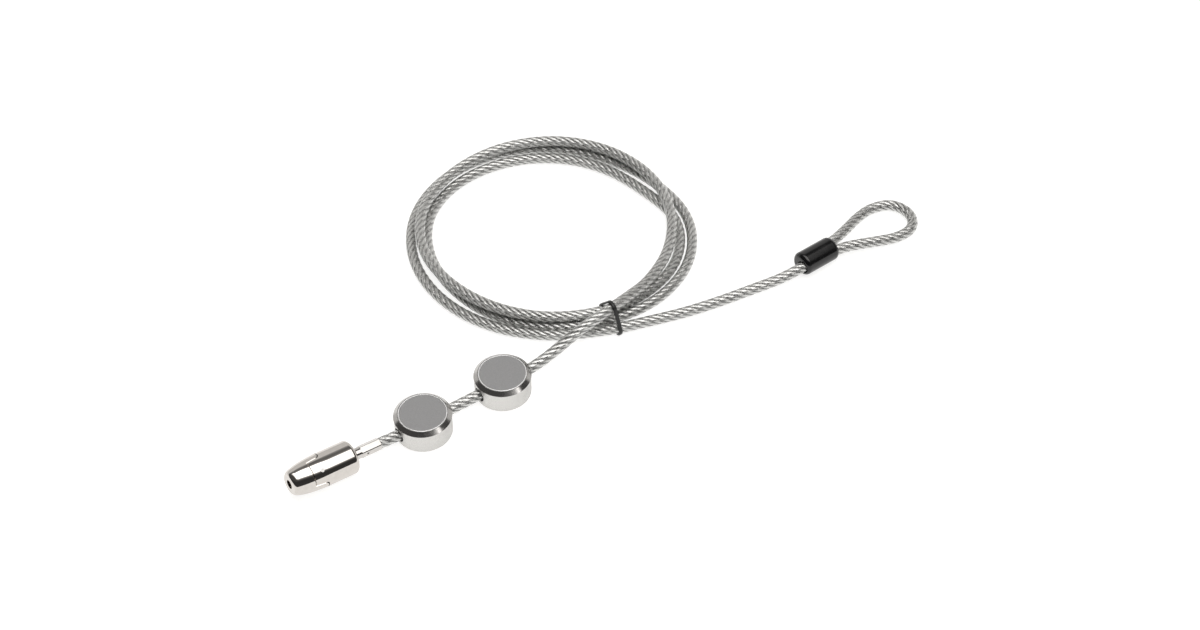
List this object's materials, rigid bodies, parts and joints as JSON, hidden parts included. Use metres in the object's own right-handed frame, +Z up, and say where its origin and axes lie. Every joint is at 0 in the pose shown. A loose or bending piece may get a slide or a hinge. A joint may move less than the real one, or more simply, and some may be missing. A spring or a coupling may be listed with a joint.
{
  "type": "laptop cable lock",
  "caption": "Keyed bullet lock head on a jacketed steel rope with cable traps threaded on it, coiled and tied, ending in a sleeved eye loop.",
  "frame": {"origin": "on the surface it lies on, on the line of the straight cable stretch, 63.1 mm before the far edge of the second cable trap, which is halfway to the lock head's tip within half a millimetre", "axes": "+X along the straight cable stretch from the lock head through the traps, +Z up, the coil lies on the +Y side"},
  "size_m": [0.3522, 0.1764, 0.0184],
  "materials": {
    "ball_steel": "hardened bearing ball",
    "black_gloss": "glossy black moulding",
    "black_liner": "moulded liner",
    "black_rubber": "matt black rubber",
    "brass": "machined",
    "bright_pin": "ground pin end",
    "bright_ring": "polished ring",
    "cable_jacket": "stranded steel rope in a clear vinyl jacket",
    "crimp_aluminium": "pressed",
    "dark_cap": "dark grey satin bevel",
    "knurled_aluminium": "fine diagonal knurl",
    "polished_nickel": "polished nickel plate",
    "rope_steel": "stranded wire rope",
    "satin_inlay": "satin grey disc",
    "satin_nickel": "nickel plated steel, drawn and crimped",
    "spring_steel": "wire and pressed steel",
    "zinc": "die-cast zinc"
  },
  "bodies": {
    "cable": {"cable_head_run": "cable_jacket", "cable_coil": "cable_jacket", "cable_tail_run": "cable_jacket", "cable_eye_loop": "cable_jacket", "coil_tie_band": "black_rubber", "loop_sleeve": "black_gloss", "loop_ferrule": "crimp_aluminium", "eye_rope_legs": "rope_steel", "swaged_stud": "satin_nickel", "stud_rope_end": "rope_steel"},
    "neck_bush": {"stud_bush": "polished_nickel"},
    "lock_head": {"head_nose_shell": "polished_nickel", "head_rear_shell": "polished_nickel", "head_retaining_pins": "bright_pin", "plug_barrel": "brass", "driver_pins": "brass", "pin_springs": "spring_steel", "latch_cage": "zinc", "cage_thrust_washer": "spring_steel"},
    "key_cylinder": {"key_plug": "brass", "key_pins": "brass", "drive_cup": "zinc", "cup_screw": "spring_steel"},
    "ball_a": {"latch_ball_a": "ball_steel"},
    "ball_b": {"latch_ball_b": "ball_steel"},
    "trap_1_sleeve": {"trap_1_liner": "black_liner"},
    "trap_1": {"trap_1_body": "knurled_aluminium", "trap_1_cap": "dark_cap", "trap_1_post": "zinc", "trap_1_bezel": "bright_ring", "trap_1_inlay": "satin_inlay", "trap_1_foot_pad": "black_rubber"},
    "trap_2_sleeve": {"trap_2_liner": "black_liner"},
    "trap_2": {"trap_2_body": "knurled_aluminium", "trap_2_cap": "dark_cap", "trap_2_post": "zinc", "trap_2_bezel": "bright_ring", "trap_2_inlay": "satin_inlay", "trap_2_foot_pad": "black_rubber"}
  },
  "joints": [
    {"name": "head_release", "type": "slide", "parent": "cable", "child": "neck_bush", "axis": [-0.9938, -0.0382, 0.1045], "range_m": [0, 0.016]},
    {"name": "head_swivel", "type": "hinge", "parent": "neck_bush", "child": "lock_head", "pos_m": [-0.03422, -0.00057, 0.00814], "axis": [-0.9938, -0.0382, 0.1045], "continuous": true},
    {"name": "key_turn", "type": "hinge", "parent": "lock_head", "child": "key_cylinder", "pos_m": [-0.05589, -0.0014, 0.01042], "axis": [0.9938, 0.0382, -0.1045], "range_deg": [0, 90]},
    {"name": "ball_a_travel", "type": "slide", "parent": "lock_head", "child": "ball_a", "axis": [-0.1045, -0.004, -0.9945], "range_m": [0, 0.00073]},
    {"name": "ball_b_travel", "type": "slide", "parent": "lock_head", "child": "ball_b", "axis": [0.1045, 0.004, 0.9945], "range_m": [0, 0.00073]},
    {"name": "trap_1_slide", "type": "slide", "parent": "cable", "child": "trap_1_sleeve", "axis": [1, 0, 0], "range_m": [-0.0015, 0.013]},
    {"name": "trap_1_roll", "type": "hinge", "parent": "trap_1_sleeve", "child": "trap_1", "pos_m": [0.0061, 0, 0.0055], "axis": [1, 0, 0], "continuous": true},
    {"name": "trap_2_slide", "type": "slide", "parent": "cable", "child": "trap_2_sleeve", "axis": [1, 0, 0], "range_m": [-0.0015, 0.0015]},
    {"name": "trap_2_roll", "type": "hinge", "parent": "trap_2_sleeve", "child": "trap_2", "pos_m": [0.0495, 0, 0.0055], "axis": [1, 0, 0], "continuous": true}
  ],
  "couplings": [
    {"joint": "ball_a_travel", "follows": "key_turn", "m_per_rad": 0.00045837},
    {"joint": "ball_b_travel", "follows": "key_turn", "m_per_rad": 0.00045837}
  ]
}
